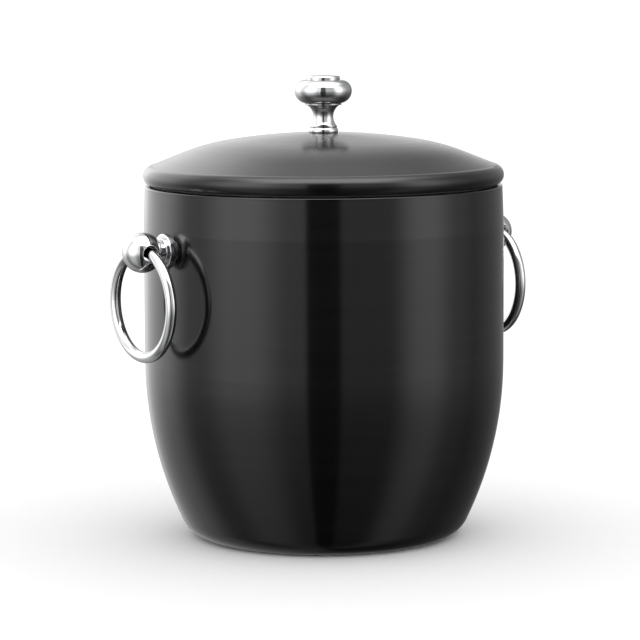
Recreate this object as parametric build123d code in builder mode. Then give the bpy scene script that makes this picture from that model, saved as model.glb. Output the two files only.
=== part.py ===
"""Double-walled ice bucket with two ring handles and a lift-off domed lid.

Millimetres. +Z is up, the origin is the centre of the underside, and the two
ring handles stand on the X axis, the left one at -X.
"""
from build123d import *
from math import acos, asin, atan2, cos, degrees, sin, sqrt, tan
import os

# ---- driving dimensions: body --------------------------------------------
wall_radius = 92.0        # outside of the straight wall
sheet = 0.8               # outer sheet thickness
rim_z = 180.0             # top of the rim
lean_z = 159.0            # above this height the wall leans in
lean_in = 0.7             # how far it leans in by the rim
belly_z = 90.0            # below this height the wall curves in
belly_radius = 190.0      # radius of that curve
base_corner = 14.0        # corner between curve and flat underside
base_hole_radius = 50.0   # opening in the underside
base_plate_radius = 56.0
base_panel_radius = 40.0  # raised middle of the base plate
base_panel_rise = 2.0

# ---- driving dimensions: inner liner -------------------------------------
liner_inset = 9.0         # outside of the liner, in from the outside of the wall
liner_floor = 10.0        # underside of the liner's floor
liner_corner = 18.0
liner_sheet = 0.7
rim_flange = 1.4          # thickness of the folded flange that covers the rim
rim_round = 0.8           # outer edge of the flange, flush with the wall
mouth_round = 0.55        # inner edge of the flange

# ---- driving dimensions: ring handles ------------------------------------
handle_z = 150.6          # height of the post
ball_radius = 10.0
ball_offset = 12.8        # ball's centre, out from the wall
ball_seat_radius = 4.5    # flat seat at the back of the ball
ring_hole = 8.0           # diameter of the hole through the ball
hole_round = 0.3
wire = 5.5                # diameter of the ring's wire
ring_radius = 26.5        # radius of the wire's centre line
ring_rise = 0.9           # top of that line above the hole's axis as it hangs
left_turn = 3.6           # degrees each loose ring has turned about the vertical in its hole
right_turn = -1.6
rosette_front = 3.0       # ball's seat, out from the wall
rosette_disc = 1.7        # thickness of the wide disc at the wall
rosette_radius = 8.8
collar_radius = 6.9       # step between disc and ball
bead = 0.6                # rounding of disc and collar

# ---- driving dimensions: M5 fasteners ------------------------------------
screw_radius = 2.5
tapped_radius = 2.55
clearance_radius = 2.75
screw_head_radius = 4.75
screw_head_height = 2.75
screw_head_round = 1.6
screw_point = 0.4
hex_flat_radius = 1.5     # half the socket's width across flats
hex_depth = 1.6
washer_radius = 5.0
washer_thickness = 1.0
lock_washer_radius = 4.6
lock_washer_thickness = 1.2
lock_washer_slit = 1.0
handle_screw_length = 10.0
knob_screw_length = 12.0
tap_extra = 0.7           # tapped hole past the screw's point
seat_slack = 0.02         # washer's flat face off the curved sheet

# ---- driving dimensions: lid ---------------------------------------------
lid_gap = 1.2             # from the rim up to the lid's edge
lid_rise = 26.44          # from the rim up to the top of the dome
dome_radius = 313.2       # curve of the dome's middle
dome_middle = 50.3        # radius out to which that curve runs
shoulder_radius = 105.1   # curve of the dome's outer part
dome_shoulder = 72.5      # radius out to which that curve runs; straight from there
dome_edge = 87.47         # crease where the dome meets the rounded edge
edge_round = 5.2
pan_clearance = 1.0       # between the lid's pan and the liner
pan_depth = 8.0           # from the rim down to the pan's underside
pan_sheet = 0.7
pan_corner = 4.0
pan_grip = 0.1            # pan's flange in from the rolled edge
seal_clearance = 0.2      # between seal and rim
seal_inner_radius = 84.8
seal_outer_radius = 88.8
seal_round = 0.3

# ---- driving dimensions: knob (heights are above the dome) ---------------
knob_height = 29.2
foot_radius = 7.5
foot_height = 2.5
foot_edge = 0.2           # foot's lower edge in from its widest
foot_top_radius = 6.9
neck_radius = 5.1         # thinnest part
neck_z = 8.1
neck_curve = 7.0
neck_foot_radius = 7.0    # neck's curve starts at this radius
ledge_z = 14.0
ledge_radius = 9.35
ledge_bead = 0.42
head_radius = 14.6
head_z = 21.3             # height of the widest part
head_lower = 6.5          # radius of the curve below it
head_upper = 5.5          # radius of the curve above it
cap_radius = 8.5
cap_round = 0.9
cap_dome = 0.4            # rise of the cap's top

# ---- worked out from those -----------------------------------------------
shell_top = rim_z - rim_flange
belly_centre = wall_radius - belly_radius
liner_radius = wall_radius - liner_inset - liner_sheet
flange_tip = wall_radius - lean_in
ball_x = wall_radius + ball_offset
ball_seat_x = wall_radius + rosette_front
ring_centre_z = handle_z + ring_rise - ring_radius
washer_seat_x = sqrt((wall_radius - sheet) ** 2 - washer_radius**2) - seat_slack
lock_seat_x = washer_seat_x - washer_thickness
head_seat_x = lock_seat_x - lock_washer_thickness
ball_tap_depth = head_seat_x + handle_screw_length + tap_extra - ball_seat_x

lid_edge_z = rim_z + lid_gap
dome_top = rim_z + lid_rise
dome_centre = (0, dome_top - dome_radius)
middle_tilt = asin(dome_middle / dome_radius)
shoulder_centre = (
    (dome_radius - shoulder_radius) * sin(middle_tilt),
    dome_centre[1] + (dome_radius - shoulder_radius) * cos(middle_tilt),
)
shoulder_tilt = asin((dome_shoulder - shoulder_centre[0]) / shoulder_radius)
shoulder_end_z = shoulder_centre[1] + shoulder_radius * cos(shoulder_tilt)
crease_z = shoulder_end_z - (dome_edge - dome_shoulder) * tan(shoulder_tilt)
edge_centre_r = wall_radius - edge_round
edge_centre = (edge_centre_r, crease_z - sqrt(edge_round**2 - (dome_edge - edge_centre_r) ** 2))
pan_radius = liner_radius - pan_clearance
pan_floor = rim_z - pan_depth
pan_flange_z = lid_edge_z + pan_grip
pan_flange_drop = edge_centre[1] - pan_flange_z
pan_flange_radius = edge_centre_r + sqrt((edge_round - sheet) ** 2 - pan_flange_drop**2) - pan_grip
knob_washer_seat = dome_top - sheet - 3 * seat_slack
knob_lock_seat = knob_washer_seat - washer_thickness
knob_head_seat = knob_lock_seat - lock_washer_thickness

os.makedirs("parts", exist_ok=True)


def keep(part, label):
    """Label a finished piece and write it out."""
    part.label = label
    export_step(part, f"parts/{label}.step")


# ---- body ----------------------------------------------------------------
def bucket_section(inset, floor, corner, top, lean):
    """Half section of a bucket that follows the outer wall at a given inset."""
    side = wall_radius - inset
    curve = belly_radius - inset
    reach = sqrt((curve - corner) ** 2 - (belly_z - floor - corner) ** 2)
    corner_centre = (belly_centre + reach, floor + corner)
    meet = degrees(atan2(corner_centre[1] - belly_z, reach))
    with BuildSketch(Plane.XZ) as section:
        with BuildLine():
            Line((0, floor), (corner_centre[0], floor))
            CenterArc(corner_centre, corner, -90, 90 + meet)
            CenterArc((belly_centre, belly_z), curve, meet, -meet)
            Polyline((side, belly_z), (side, lean_z), (side - lean, top), (0, top), (0, floor))
        make_face()
    return section.sketch


shell_outside = bucket_section(0, 0, base_corner, shell_top, lean_in)
shell_inside = bucket_section(sheet, sheet, base_corner - sheet, shell_top, lean_in)

with BuildPart() as outer_shell:
    revolve(shell_outside, axis=Axis.Z)
    revolve(shell_inside, axis=Axis.Z, mode=Mode.SUBTRACT)
    Cylinder(base_hole_radius, 4 * sheet, mode=Mode.SUBTRACT)
    with BuildSketch(Plane(origin=(0, 0, handle_z), z_dir=(1, 0, 0))):
        Circle(clearance_radius)
    extrude(amount=2 * wall_radius, both=True, mode=Mode.SUBTRACT)
keep(outer_shell.part, "outer_shell")

liner_outside = bucket_section(liner_inset, liner_floor, liner_corner, rim_z, 0)
liner_inside = bucket_section(
    liner_inset + liner_sheet,
    liner_floor + liner_sheet,
    liner_corner - liner_sheet,
    rim_z,
    0,
)

with BuildPart() as inner_liner:
    revolve(liner_outside, axis=Axis.Z)
    with BuildSketch(Plane.XZ):
        with Locations(((liner_radius + flange_tip) / 2, rim_z - rim_flange / 2)):
            Rectangle(flange_tip - liner_radius, rim_flange)
    revolve(axis=Axis.Z)
    revolve(liner_inside, axis=Axis.Z, mode=Mode.SUBTRACT)
    top_edges = inner_liner.edges().filter_by(GeomType.CIRCLE).filter_by_position(Axis.Z, rim_z, rim_z)
    fillet(top_edges.sort_by(SortBy.RADIUS)[0], radius=mouth_round)
    top_edges = inner_liner.edges().filter_by(GeomType.CIRCLE).filter_by_position(Axis.Z, rim_z, rim_z)
    fillet(top_edges.sort_by(SortBy.RADIUS)[-1], radius=rim_round)
keep(inner_liner.part, "inner_liner")

with BuildPart() as base_plate:
    with BuildSketch(Plane.XZ):
        with BuildLine():
            slope_foot = base_panel_radius + 2 * base_panel_rise
            panel_z = sheet + base_panel_rise
            Polyline(
                (0, panel_z),
                (base_panel_radius, panel_z),
                (slope_foot, sheet),
                (base_plate_radius, sheet),
                (base_plate_radius, 2 * sheet),
                (slope_foot, 2 * sheet),
                (base_panel_radius, panel_z + sheet),
                (0, panel_z + sheet),
                close=True,
            )
        make_face()
    revolve(axis=Axis.Z)
keep(base_plate.part, "base_plate")


# ---- fasteners -----------------------------------------------------------
def socket_screw(seat, length):
    """Round-headed M5 screw: the shank runs along the seat's normal, the head behind it."""
    with BuildPart() as screw:
        with BuildSketch(seat):
            Circle(screw_radius)
        extrude(amount=length)
        with BuildSketch(seat):
            Circle(screw_head_radius)
        extrude(amount=-screw_head_height)
        circles = screw.edges().filter_by(GeomType.CIRCLE).sort_by(Axis(seat.origin, seat.z_dir))
        fillet(circles[0], screw_head_round)
        chamfer(circles[-1], screw_point)
        with BuildSketch(seat.offset(-screw_head_height)):
            RegularPolygon(hex_flat_radius, 6, major_radius=False)
        extrude(amount=hex_depth, mode=Mode.SUBTRACT)
    return screw.part


def flat_washer(seat):
    """M5 washer behind a seat plane."""
    with BuildPart() as washer:
        with BuildSketch(seat):
            Circle(washer_radius)
            Circle(clearance_radius, mode=Mode.SUBTRACT)
        extrude(amount=-washer_thickness)
    return washer.part


def lock_washer(seat):
    """Split spring washer behind a seat plane, flat as when tightened."""
    with BuildPart() as washer:
        with BuildSketch(seat):
            Circle(lock_washer_radius)
            Circle(clearance_radius, mode=Mode.SUBTRACT)
            with Locations((lock_washer_radius / 2, 0)):
                Rectangle(2 * lock_washer_radius, lock_washer_slit, mode=Mode.SUBTRACT)
        extrude(amount=-lock_washer_thickness)
    return washer.part


# ---- ring handles --------------------------------------------------------
def across_post(side, distance):
    """Plane square to a handle's post, facing out, at a distance from the bucket's axis."""
    return Plane(origin=(side * distance, 0, handle_z), z_dir=(side, 0, 0))


def make_rosette(side):
    """Stepped collar between wall and ball; its back follows the curved wall."""
    post = Plane(origin=(0, 0, handle_z), x_dir=(side, 0, 0), z_dir=(0, -side, 0))
    back = wall_radius - sheet
    disc_front = wall_radius + rosette_disc
    with BuildPart() as rosette:
        with BuildSketch(post):
            with BuildLine():
                Polyline((ball_seat_x, 0), (back, 0), (back, rosette_radius), (disc_front - bead, rosette_radius))
                RadiusArc((disc_front - bead, rosette_radius), (disc_front, rosette_radius - bead), bead)
                Line((disc_front, rosette_radius - bead), (disc_front, collar_radius))
                Line((disc_front, collar_radius), (ball_seat_x - bead, collar_radius))
                RadiusArc((ball_seat_x - bead, collar_radius), (ball_seat_x, collar_radius - bead), bead)
                Line((ball_seat_x, collar_radius - bead), (ball_seat_x, 0))
            make_face()
        revolve(axis=Axis((0, 0, handle_z), (side, 0, 0)))
        with BuildSketch(across_post(side, 0)):
            Circle(clearance_radius)
        extrude(amount=2 * wall_radius, mode=Mode.SUBTRACT)
        with Locations((0, 0, handle_z)):
            Cylinder(wall_radius, 4 * rosette_radius, mode=Mode.SUBTRACT)
    return rosette.part


def make_ball(side):
    """Ball with a flat seat, a tapped hole at its back and the ring's hole across it."""
    with BuildPart() as ball:
        with Locations((side * ball_x, 0, handle_z)):
            Sphere(ball_radius)
        with BuildSketch(across_post(side, ball_seat_x)):
            Circle(ball_radius)
        extrude(amount=-ball_radius, mode=Mode.SUBTRACT)
        with BuildSketch(across_post(side, ball_seat_x)):
            Circle(ball_seat_radius)
        extrude(amount=ball_radius / 2)
        with BuildSketch(Plane(origin=(side * ball_x, 0, handle_z), z_dir=(0, 1, 0))):
            Circle(ring_hole / 2)
        extrude(amount=ball_radius, both=True, mode=Mode.SUBTRACT)
        mouths = ball.edges().filter_by(lambda edge: abs(edge.center().Y) > ball_radius / 2)
        fillet(mouths, hole_round)
        with BuildSketch(across_post(side, ball_seat_x)):
            Circle(tapped_radius)
        extrude(amount=ball_tap_depth, mode=Mode.SUBTRACT)
    return ball.part


def make_ring(side, turn):
    """Ring of round wire, hanging from the ball and turned a little about the vertical."""
    with BuildPart() as ring:
        with BuildSketch(Plane(origin=(0, 0, 0), x_dir=(0, 1, 0), z_dir=(0, 0, 1))):
            with Locations((ring_radius, 0)):
                Circle(wire / 2)
        revolve(axis=Axis.X)
    ring.part.location = Location((side * ball_x, 0, ring_centre_z), (0, 0, turn))
    return ring.part


for side, hand, turn in ((-1, "left", left_turn), (1, "right", right_turn)):
    keep(make_rosette(side), f"rosette_{hand}")
    keep(make_ball(side), f"ball_{hand}")
    keep(make_ring(side, turn), f"ring_{hand}")
    keep(flat_washer(across_post(side, washer_seat_x)), f"handle_washer_{hand}")
    keep(lock_washer(across_post(side, lock_seat_x)), f"handle_lock_washer_{hand}")
    keep(socket_screw(across_post(side, head_seat_x), handle_screw_length), f"handle_screw_{hand}")


# ---- lid -----------------------------------------------------------------
def dome_section(inset):
    """Half section of everything under the lid's surface, at a given inset."""
    across = edge_centre[0] - shoulder_centre[0]
    up = edge_centre[1] - shoulder_centre[1]
    slope_offset = shoulder_radius - inset - across * sin(shoulder_tilt) - up * cos(shoulder_tilt)
    crease_angle = 90 - degrees(shoulder_tilt) + degrees(acos(slope_offset / (edge_round - inset)))
    edge_end = -degrees(asin((edge_centre[1] - lid_edge_z) / (edge_round - inset)))
    with BuildSketch(Plane.XZ) as section:
        with BuildLine():
            middle = CenterArc(dome_centre, dome_radius - inset, 90, -degrees(middle_tilt))
            shoulder_start = 90 - degrees(middle_tilt)
            shoulder_sweep = degrees(middle_tilt - shoulder_tilt)
            shoulder = CenterArc(shoulder_centre, shoulder_radius - inset, shoulder_start, shoulder_sweep)
            edge = CenterArc(edge_centre, edge_round - inset, crease_angle, edge_end - crease_angle)
            Line(shoulder @ 1, edge @ 0)
            Polyline(edge @ 1, (0, lid_edge_z), middle @ 0)
        make_face()
    return section.sketch


lid_outside = dome_section(0)
lid_inside = dome_section(sheet)

with BuildPart() as lid_cover:
    revolve(lid_outside, axis=Axis.Z)
    revolve(lid_inside, axis=Axis.Z, mode=Mode.SUBTRACT)
    with Locations((0, 0, dome_top)):
        Cylinder(clearance_radius, 4 * sheet, mode=Mode.SUBTRACT)
keep(lid_cover.part, "lid_cover")

with BuildPart() as lid_pan:
    with BuildSketch(Plane.XZ):
        with BuildLine():
            pan_inside = pan_radius - pan_sheet
            pan_top = pan_flange_z + pan_sheet
            FilletPolyline((0, pan_floor), (pan_radius, pan_floor), (pan_radius, pan_flange_z), radius=pan_corner)
            Polyline(
                (pan_radius, pan_flange_z),
                (pan_flange_radius, pan_flange_z),
                (pan_flange_radius, pan_top),
                (pan_inside, pan_top),
            )
            FilletPolyline(
                (pan_inside, pan_top),
                (pan_inside, pan_floor + pan_sheet),
                (0, pan_floor + pan_sheet),
                radius=pan_corner - pan_sheet,
            )
            Line((0, pan_floor + pan_sheet), (0, pan_floor))
        make_face()
    revolve(axis=Axis.Z)
keep(lid_pan.part, "lid_pan")

with BuildPart() as lid_seal:
    with BuildSketch(Plane.XY.offset(rim_z + seal_clearance)):
        Circle(seal_outer_radius)
        Circle(seal_inner_radius, mode=Mode.SUBTRACT)
    extrude(amount=pan_flange_z - rim_z - seal_clearance)
    fillet(lid_seal.edges().group_by(Axis.Z)[0], seal_round)
keep(lid_seal.part, "lid_seal")

with BuildPart() as knob:
    with BuildSketch(Plane.XZ):
        with BuildLine():
            foot_bottom_radius = foot_radius - foot_edge
            hole_angle = 90 - degrees(asin(tapped_radius / dome_radius))
            foot_angle = 90 - degrees(asin(foot_bottom_radius / dome_radius))
            hole_top = knob_head_seat + knob_screw_length + tap_extra
            neck_centre = (neck_radius + neck_curve, dome_top + neck_z)
            neck_low = 180 + degrees(acos((neck_centre[0] - neck_foot_radius) / neck_curve))
            neck_high = 180 - degrees(asin((ledge_z - neck_z) / neck_curve))
            lower_centre = (head_radius - head_lower, dome_top + head_z)
            lower_start = -degrees(acos((ledge_radius - ledge_bead - lower_centre[0]) / head_lower))
            cap_shoulder = dome_top + knob_height - cap_dome - cap_round
            cap_flat = cap_radius - cap_round
            cap_curve = (cap_flat**2 + cap_dome**2) / (2 * cap_dome)
            cap_tilt = degrees(asin(cap_flat / cap_curve))

            underside = CenterArc(dome_centre, dome_radius, hole_angle, foot_angle - hole_angle)
            Polyline(underside @ 0, (tapped_radius, hole_top), (0, hole_top), (0, dome_top + knob_height))
            foot_top = (foot_top_radius, dome_top + foot_height)
            ThreePointArc(underside @ 1, (foot_radius, dome_top + foot_height / 2), foot_top)
            neck = CenterArc(neck_centre, neck_curve, neck_low, neck_high - neck_low)
            Line(foot_top, neck @ 0)
            ledge_low = Vector(ledge_radius - ledge_bead, dome_top + ledge_z)
            Line(neck @ 1, ledge_low)
            lower = CenterArc(lower_centre, head_lower, lower_start, -lower_start)
            ThreePointArc(ledge_low, ledge_low + Vector(ledge_bead, ledge_bead), lower @ 0)
            upper = CenterArc((head_radius - head_upper, dome_top + head_z), head_upper, 0, 90)
            Polyline(upper @ 1, (cap_radius, (upper @ 1).Y), (cap_radius, cap_shoulder))
            CenterArc((cap_flat, cap_shoulder), cap_round, 0, 90)
            CenterArc((0, dome_top + knob_height - cap_curve), cap_curve, 90 - cap_tilt, cap_tilt)
        make_face()
    revolve(axis=Axis.Z)
keep(knob.part, "knob")

keep(flat_washer(Plane.XY.offset(knob_washer_seat)), "knob_washer")
keep(lock_washer(Plane.XY.offset(knob_lock_seat)), "knob_lock_washer")
keep(socket_screw(Plane.XY.offset(knob_head_seat), knob_screw_length), "knob_screw")
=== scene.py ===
"""Looks of the double-walled ice bucket: brushed black lacquer, chrome, stainless steel.

Metres. The frame's own axes: +Z up, the ring handles on the X axis.
"""
import math

import bpy
from mathutils import Matrix, Vector

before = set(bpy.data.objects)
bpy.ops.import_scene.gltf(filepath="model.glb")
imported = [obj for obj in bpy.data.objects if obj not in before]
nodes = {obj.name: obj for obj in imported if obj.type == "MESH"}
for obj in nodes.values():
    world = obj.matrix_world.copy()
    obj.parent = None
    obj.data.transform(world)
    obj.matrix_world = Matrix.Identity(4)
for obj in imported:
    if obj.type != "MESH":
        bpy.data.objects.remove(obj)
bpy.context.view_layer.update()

# ---- camera --------------------------------------------------------------
CAMERA_TURN = math.radians(31.2)     # about +Z, from looking along +Y
CAMERA_DISTANCE = 1.500              # from the bucket's axis
CAMERA_HEIGHT = 0.293
CAMERA_PITCH = math.radians(6.95)    # looking down
CAMERA_ROLL = math.radians(-0.26)
CAMERA_LENS = 165.5
CAMERA_SENSOR = 36.0
CAMERA_SHIFT = -0.0066

# ---- studio --------------------------------------------------------------
FLOOR_SIZE = 60.0
FLOOR_DROP = 0.0001                  # below the underside of the bucket
SOFT_FILL = 1.16                     # brightness that lights matt surfaces
DARK_GAP = 0.11                      # what is reflected between the panels
OVERHEAD = 0.82                      # even light from high up
FRONT_STRIP = 4.0                    # bright strip high above the camera

# Where those lights stand. Elevations are in degrees, 0 level and 90 straight up: from, to, and
# the share of the panels' light at each.
BELOW_LEVEL = (-70.0, -20.0, 0.10, 0.28)
AROUND_LEVEL = (-22.0, 12.0, 0.0, 0.72)
PANEL_TOPS = (34.0, 56.0)            # the panels give way to the overhead light
STRIP_COMES = (43.0, 55.0)           # degrees up and over, starting level on the camera's side
STRIP_GOES = (78.0, 130.0)
STRIP_SIDES = (0.35, 0.75)           # fades out sideways, 1 is straight to the side

# Tall soft lights round the bucket, in degrees about it from the camera's side, right
# positive: left edge, right edge, softness of each edge, brightness.
PANELS = [
    (-186.0, -160.0, 12.0, 10.0, 0.95),  # white wall behind
    (-165.0, -108.0, 12.0, 14.0, 2.25),  # window behind, left
    (-112.0, -11.0, 14.0, 1.2, 1.05),    # pale wall, left
    (-74.0, -34.0, 14.0, 14.0, 1.40),    # key light, left front
    (10.5, 100.0, 2.0, 12.0, 0.55),      # grey wall, right
    (52.0, 83.0, 12.0, 12.0, 1.55),      # fill light, right
    (90.0, 186.0, 12.0, 14.0, 0.34),     # grey wall behind, right
]

# ---- finishes ------------------------------------------------------------
RIM_PAINT = 0.0885                   # radius where the rim's lacquer ends and bare steel begins
PAINT_EDGE = 0.0002
WALL_GLOSS = (0.11, 0.16)            # roughness of the lacquer, along its lines and between
LID_GLOSS = (0.17, 0.23)
SCUFF_HEIGHT = 0.004                 # rubbed zone just above the underside
SCUFF_DULLING = 0.16                 # roughness added where it is rubbed
BRUSHING = 0.7                       # how far brushed gloss is stretched
CHROME_EDGE = 0.55                   # brightness of the chrome's grazing reflections

# Each finish varies between two colours.
LACQUER_BLACK = (0.0012, 0.0012, 0.0014, 1.0)
LACQUER_WORN = (0.0026, 0.0026, 0.0030, 1.0)
STEEL_DARK = (0.60, 0.595, 0.58, 1.0)
STEEL_LIGHT = (0.72, 0.715, 0.70, 1.0)
CHROME_CLEAR = (0.70, 0.705, 0.715, 1.0)
CHROME_SMUDGED = (0.64, 0.645, 0.655, 1.0)
ZINC_DARK = (0.50, 0.51, 0.53, 1.0)
ZINC_LIGHT = (0.64, 0.65, 0.66, 1.0)
RUBBER_DARK = (0.012, 0.012, 0.013, 1.0)
RUBBER_BLOOM = (0.028, 0.028, 0.029, 1.0)


# ---- node helpers --------------------------------------------------------
class Nodes:
    """Short names for building one node tree."""

    def __init__(self, tree):
        self.tree = tree
        tree.nodes.clear()

    def add(self, kind, **settings):
        node = self.tree.nodes.new(kind)
        for name, value in settings.items():
            setattr(node, name, value)
        return node

    def put(self, socket, value):
        """Link an output into a socket, or set the socket to a plain value."""
        if isinstance(value, bpy.types.NodeSocket):
            self.tree.links.new(value, socket)
        else:
            socket.default_value = value

    def math(self, operation, a, b=0.0, c=0.0):
        node = self.add("ShaderNodeMath", operation=operation)
        for socket, value in zip(node.inputs, (a, b, c)):
            self.put(socket, value)
        return node.outputs[0]

    def vector_math(self, operation, a, b=(0.0, 0.0, 0.0), out="Vector"):
        node = self.add("ShaderNodeVectorMath", operation=operation)
        self.put(node.inputs[0], a)
        self.put(node.inputs[1], b)
        return node.outputs[out]

    def ramp(self, value, low, high, to_low=0.0, to_high=1.0, smooth=True):
        """Map a value from one range to another, held flat outside it."""
        node = self.add("ShaderNodeMapRange")
        node.interpolation_type = "SMOOTHSTEP" if smooth else "LINEAR"
        for name, setting in (
            ("Value", value),
            ("From Min", low),
            ("From Max", high),
            ("To Min", to_low),
            ("To Max", to_high),
        ):
            self.put(node.inputs[name], setting)
        return node.outputs["Result"]

    def noise(self, vector, scale, detail=2.0, roughness=0.5, distortion=0.0):
        node = self.add("ShaderNodeTexNoise")
        self.put(node.inputs["Vector"], vector)
        self.put(node.inputs["Scale"], scale)
        self.put(node.inputs["Detail"], detail)
        self.put(node.inputs["Roughness"], roughness)
        self.put(node.inputs["Distortion"], distortion)
        return node.outputs["Fac"]

    def colour_mix(self, factor, a, b):
        """Mix two colours. Sockets 6 and 7, and output 2, are the node's colour ones."""
        node = self.add("ShaderNodeMix", data_type="RGBA")
        self.put(node.inputs[0], factor)
        self.put(node.inputs[6], a)
        self.put(node.inputs[7], b)
        return node.outputs[2]

    def bump(self, height, strength, distance):
        """Relief from a height pattern; the distance is in metres."""
        node = self.add("ShaderNodeBump")
        self.put(node.inputs["Height"], height)
        self.put(node.inputs["Strength"], strength)
        self.put(node.inputs["Distance"], distance)
        return node.outputs["Normal"]


def grey(value):
    return (value, value, value, 1.0)


# ---- materials -----------------------------------------------------------
def new_material(name):
    material = bpy.data.materials.new(name)
    material.use_nodes = True
    return material, Nodes(material.node_tree)


def finish_material(n, shader):
    output = n.add("ShaderNodeOutputMaterial")
    n.put(output.inputs["Surface"], shader.outputs[0])


def object_place(n):
    return n.add("ShaderNodeTexCoord").outputs["Object"]


def parts_of(n, place):
    split = n.add("ShaderNodeSeparateXYZ")
    n.put(split.inputs[0], place)
    return split.outputs


def radius_of(n, place):
    """Distance of a point from the bucket's axis."""
    flat = n.vector_math("MULTIPLY", place, (1.0, 1.0, 0.0))
    return n.vector_math("LENGTH", flat, out="Value")


def brush_lines(n, place, stacked, fine, drift):
    """Noise drawn out round the axis; `stacked` is the coordinate its lines are stacked along."""
    x, y, z = parts_of(n, place)
    join = n.add("ShaderNodeCombineXYZ")
    n.put(join.inputs[0], n.math("MULTIPLY", x, drift))
    n.put(join.inputs[1], n.math("MULTIPLY", y, drift))
    n.put(join.inputs[2], n.math("MULTIPLY", stacked, fine))
    return n.noise(join.outputs[0], 1.0, 3.0, 0.6)


def brushed_round_axis(n, shader):
    """Stretch the gloss as brushing round the bucket's axis does."""
    shader.inputs["Anisotropic"].default_value = BRUSHING
    shader.inputs["Anisotropic Rotation"].default_value = 0.25
    tangent = n.add("ShaderNodeTangent", direction_type="RADIAL", axis="Z")
    n.put(shader.inputs["Tangent"], tangent.outputs[0])


def lacquer_shader(n, on_dome, smoothest, dullest):
    place = object_place(n)
    height = parts_of(n, place)[2]
    stacked = radius_of(n, place) if on_dome else height
    lines = brush_lines(n, place, stacked, 2600.0, 9.0)
    bands = brush_lines(n, place, stacked, 330.0, 6.0)
    clouds = n.noise(place, 26.0, 3.0, 0.55)
    rubbed = n.noise(place, 420.0, 3.0, 0.7)

    shader = n.add("ShaderNodeBsdfPrincipled")
    tint = n.colour_mix(n.ramp(bands, 0.3, 0.7), LACQUER_BLACK, LACQUER_WORN)
    n.put(shader.inputs["Base Color"], tint)
    along_lines = n.ramp(lines, 0.25, 0.75, smoothest, dullest)
    in_clouds = n.ramp(clouds, 0.35, 0.7, 0.0, 0.02)
    roughness = n.math("ADD", along_lines, in_clouds)
    near_foot = n.ramp(height, 0.0, SCUFF_HEIGHT, SCUFF_DULLING, 0.0)
    scuffs = n.math("MULTIPLY", near_foot, n.ramp(rubbed, 0.35, 0.65))
    n.put(shader.inputs["Roughness"], n.math("ADD", roughness, scuffs))
    shader.inputs["IOR"].default_value = 1.5
    brushed_round_axis(n, shader)
    n.put(shader.inputs["Normal"], n.bump(lines, 0.10, 0.00002))
    return shader


def steel_shader(n):
    place = object_place(n)
    stacked = n.math("ADD", radius_of(n, place), parts_of(n, place)[2])
    lines = brush_lines(n, place, stacked, 2200.0, 12.0)
    clouds = n.noise(place, 22.0, 3.0, 0.6)
    shader = n.add("ShaderNodeBsdfPrincipled")
    tint = n.colour_mix(n.ramp(lines, 0.3, 0.7), STEEL_DARK, STEEL_LIGHT)
    n.put(shader.inputs["Base Color"], tint)
    shader.inputs["Metallic"].default_value = 1.0
    along_lines = n.ramp(lines, 0.2, 0.8, 0.22, 0.32)
    in_clouds = n.ramp(clouds, 0.3, 0.7, 0.0, 0.05)
    n.put(shader.inputs["Roughness"], n.math("ADD", along_lines, in_clouds))
    brushed_round_axis(n, shader)
    n.put(shader.inputs["Normal"], n.bump(lines, 0.2, 0.00003))
    return shader


def black_lacquer(name, on_dome, smoothest, dullest):
    """Black lacquer over metal brushed round the axis: satin gloss, fine level lines."""
    material, n = new_material(name)
    finish_material(n, lacquer_shader(n, on_dome, smoothest, dullest))
    return material


def stainless(name):
    """Plain stainless sheet, spun and brushed round the axis."""
    material, n = new_material(name)
    finish_material(n, steel_shader(n))
    return material


def steel_with_painted_rim(name):
    """Stainless inside the bucket; the wall's lacquer runs over the rim's rounded outer edge."""
    material, n = new_material(name)
    painted = n.ramp(radius_of(n, object_place(n)), RIM_PAINT - PAINT_EDGE, RIM_PAINT + PAINT_EDGE)
    blend = n.add("ShaderNodeMixShader")
    n.put(blend.inputs[0], painted)
    n.put(blend.inputs[1], steel_shader(n).outputs[0])
    n.put(blend.inputs[2], lacquer_shader(n, False, *WALL_GLOSS).outputs[0])
    finish_material(n, blend)
    return material


def chrome(name):
    """Polished chrome plate with a trace of handling and fine polishing marks."""
    material, n = new_material(name)
    place = object_place(n)
    smudge = n.noise(place, 90.0, 4.0, 0.55, 0.4)
    polish = n.noise(n.vector_math("MULTIPLY", place, (900.0, 900.0, 4200.0)), 1.0, 2.0, 0.6)
    shader = n.add("ShaderNodeBsdfPrincipled")
    tint = n.colour_mix(n.ramp(smudge, 0.35, 0.75), CHROME_CLEAR, CHROME_SMUDGED)
    n.put(shader.inputs["Base Color"], tint)
    shader.inputs["Metallic"].default_value = 1.0
    shader.inputs["Specular Tint"].default_value = grey(CHROME_EDGE)
    n.put(shader.inputs["Roughness"], n.ramp(smudge, 0.4, 0.8, 0.05, 0.09))
    n.put(shader.inputs["Normal"], n.bump(polish, 0.05, 0.00001))
    finish_material(n, shader)
    return material


def screw_steel(name):
    """Zinc-plated steel, slightly mottled."""
    material, n = new_material(name)
    place = object_place(n)
    mottle = n.noise(place, 700.0, 4.0, 0.6)
    shader = n.add("ShaderNodeBsdfPrincipled")
    tint = n.colour_mix(n.ramp(mottle, 0.35, 0.7), ZINC_DARK, ZINC_LIGHT)
    n.put(shader.inputs["Base Color"], tint)
    shader.inputs["Metallic"].default_value = 1.0
    n.put(shader.inputs["Roughness"], n.ramp(mottle, 0.3, 0.7, 0.28, 0.42))
    n.put(shader.inputs["Normal"], n.bump(mottle, 0.15, 0.00003))
    finish_material(n, shader)
    return material


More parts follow.
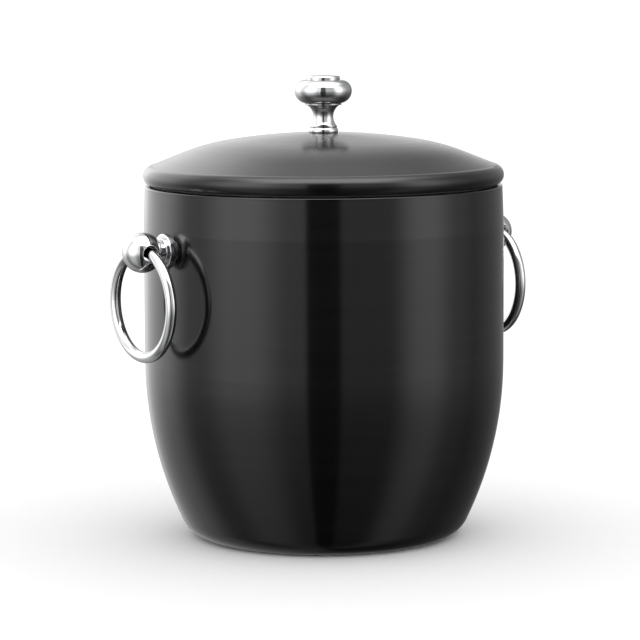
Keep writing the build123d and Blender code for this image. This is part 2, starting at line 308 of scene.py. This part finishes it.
def seal_rubber(name):
    """Matt grey-black moulded rubber."""
    material, n = new_material(name)
    place = object_place(n)
    grain = n.noise(place, 2400.0, 3.0, 0.6)
    bloom = n.noise(place, 60.0, 3.0, 0.5)
    shader = n.add("ShaderNodeBsdfPrincipled")
    tint = n.colour_mix(n.ramp(bloom, 0.3, 0.75), RUBBER_DARK, RUBBER_BLOOM)
    n.put(shader.inputs["Base Color"], tint)
    n.put(shader.inputs["Roughness"], n.ramp(grain, 0.3, 0.7, 0.55, 0.72))
    n.put(shader.inputs["Normal"], n.bump(grain, 0.3, 0.00005))
    finish_material(n, shader)
    return material


def dress(names, material):
    """Give each named piece this one material."""
    for name in names:
        slots = nodes[name].data.materials
        slots.clear()
        slots.append(material)


FASTENERS = [name for name in nodes if "screw" in name or "washer" in name]
dress(["outer_shell", "base_plate"], black_lacquer("lacquer_wall", False, *WALL_GLOSS))
dress(["lid_cover"], black_lacquer("lacquer_lid", True, *LID_GLOSS))
dress(["inner_liner"], steel_with_painted_rim("stainless_painted_rim"))
dress(["lid_pan"], stainless("brushed_stainless"))
dress(
    ["rosette_left", "rosette_right", "ball_left", "ball_right", "ring_left", "ring_right", "knob"],
    chrome("chrome_plate"),
)
dress(FASTENERS, screw_steel("zinc_steel"))
dress(["lid_seal"], seal_rubber("seal_rubber_black"))


# ---- surroundings --------------------------------------------------------
def panel(n, azimuth, left, right, soft_left, soft_right, brightness):
    """Glow of one tall light, between two azimuths with a soft edge on each side."""
    middle, half = (left + right) / 2, (right - left) / 2
    turned = n.math("WRAP", n.math("SUBTRACT", azimuth, middle), 180.0, -180.0)
    rise = n.ramp(turned, -half - soft_left, -half + soft_left)
    fall = n.ramp(turned, half - soft_right, half + soft_right, 1.0, 0.0)
    return n.math("MULTIPLY", n.math("MULTIPLY", rise, fall), brightness)


def reflected_light(n, azimuth, elevation, over_top, across):
    """What shiny surfaces see: the panels, dimmer towards the floor, an even light high up."""
    total = DARK_GAP
    for lamp in PANELS:
        total = n.math("ADD", panel(n, azimuth, *lamp), total)
    low = n.ramp(elevation, *BELOW_LEVEL, smooth=False)
    level = n.ramp(elevation, *AROUND_LEVEL)
    sides = n.math("MULTIPLY", total, n.math("ADD", low, level))
    high = n.ramp(elevation, *PANEL_TOPS)
    walls = n.math("MULTIPLY", sides, n.math("SUBTRACT", 1.0, high))
    room = n.math("ADD", walls, n.math("MULTIPLY", high, OVERHEAD))
    comes, goes = n.ramp(over_top, *STRIP_COMES), n.ramp(over_top, *STRIP_GOES, 1.0, 0.0)
    sideways = n.ramp(n.math("ABSOLUTE", across), *STRIP_SIDES, FRONT_STRIP, 0.0)
    strip = n.math("MULTIPLY", n.math("MULTIPLY", comes, goes), sideways)
    return n.math("ADD", room, strip)


def studio_world():
    """Soft panels for what is reflected, an even pale surround for everything else."""
    world = bpy.data.worlds.new("studio")
    bpy.context.scene.world = world
    world.use_nodes = True
    n = Nodes(world.node_tree)
    direction = n.add("ShaderNodeTexCoord").outputs["Generated"]
    right = (math.cos(CAMERA_TURN), -math.sin(CAMERA_TURN), 0.0)
    toward = (-math.sin(CAMERA_TURN), -math.cos(CAMERA_TURN), 0.0)
    across = n.vector_math("DOT_PRODUCT", direction, right, "Value")
    along = n.vector_math("DOT_PRODUCT", direction, toward, "Value")
    up = n.vector_math("DOT_PRODUCT", direction, (0.0, 0.0, 1.0), "Value")
    azimuth = n.math("DEGREES", n.math("ARCTAN2", across, along))
    elevation = n.math("DEGREES", n.math("ARCSINE", up))
    over_top = n.math("DEGREES", n.math("ARCTAN2", up, along))

    rays = n.add("ShaderNodeLightPath")
    diffuse = n.math("MULTIPLY", rays.outputs["Is Diffuse Ray"], SOFT_FILL)
    reflected = reflected_light(n, azimuth, elevation, over_top, across)
    glossy = n.math("MULTIPLY", rays.outputs["Is Glossy Ray"], reflected)
    seen = n.math("ADD", n.math("ADD", diffuse, glossy), rays.outputs["Is Camera Ray"])
    background = n.add("ShaderNodeBackground")
    n.put(background.inputs["Color"], grey(1.0))
    n.put(background.inputs["Strength"], seen)
    output = n.add("ShaderNodeOutputWorld")
    n.put(output.inputs["Surface"], background.outputs[0])


def make_floor():
    """Plain pale floor, matt, with a faint speckle."""
    half = FLOOR_SIZE / 2
    mesh = bpy.data.meshes.new("floor")
    corners = [(-half, -half), (half, -half), (half, half), (-half, half)]
    mesh.from_pydata([(x, y, -FLOOR_DROP) for x, y in corners], [], [(0, 1, 2, 3)])
    floor = bpy.data.objects.new("floor", mesh)
    bpy.context.scene.collection.objects.link(floor)
    floor.visible_glossy = False
    material, n = new_material("floor_pale")
    speckle = n.noise(object_place(n), 300.0, 2.0, 0.5)
    shader = n.add("ShaderNodeBsdfPrincipled")
    n.put(shader.inputs["Base Color"], n.colour_mix(speckle, grey(0.95), grey(0.99)))
    shader.inputs["Roughness"].default_value = 0.9
    shader.inputs["Specular IOR Level"].default_value = 0.0
    finish_material(n, shader)
    mesh.materials.append(material)


def make_camera():
    data = bpy.data.cameras.new("camera")
    data.lens = CAMERA_LENS
    data.sensor_width = CAMERA_SENSOR
    data.shift_x = CAMERA_SHIFT
    data.clip_end = 200.0
    camera = bpy.data.objects.new("camera", data)
    bpy.context.scene.collection.objects.link(camera)
    flat = Vector((math.sin(CAMERA_TURN), math.cos(CAMERA_TURN), 0.0))
    forward = flat * math.cos(CAMERA_PITCH) - Vector((0.0, 0.0, math.sin(CAMERA_PITCH)))
    turn = forward.to_track_quat("-Z", "Y").to_matrix() @ Matrix.Rotation(CAMERA_ROLL, 3, "Z")
    place = -flat * CAMERA_DISTANCE + Vector((0.0, 0.0, CAMERA_HEIGHT))
    camera.matrix_world = Matrix.Translation(place) @ turn.to_4x4()
    bpy.context.scene.camera = camera


bpy.context.scene.view_settings.view_transform = "Standard"
studio_world()
make_floor()
make_camera()
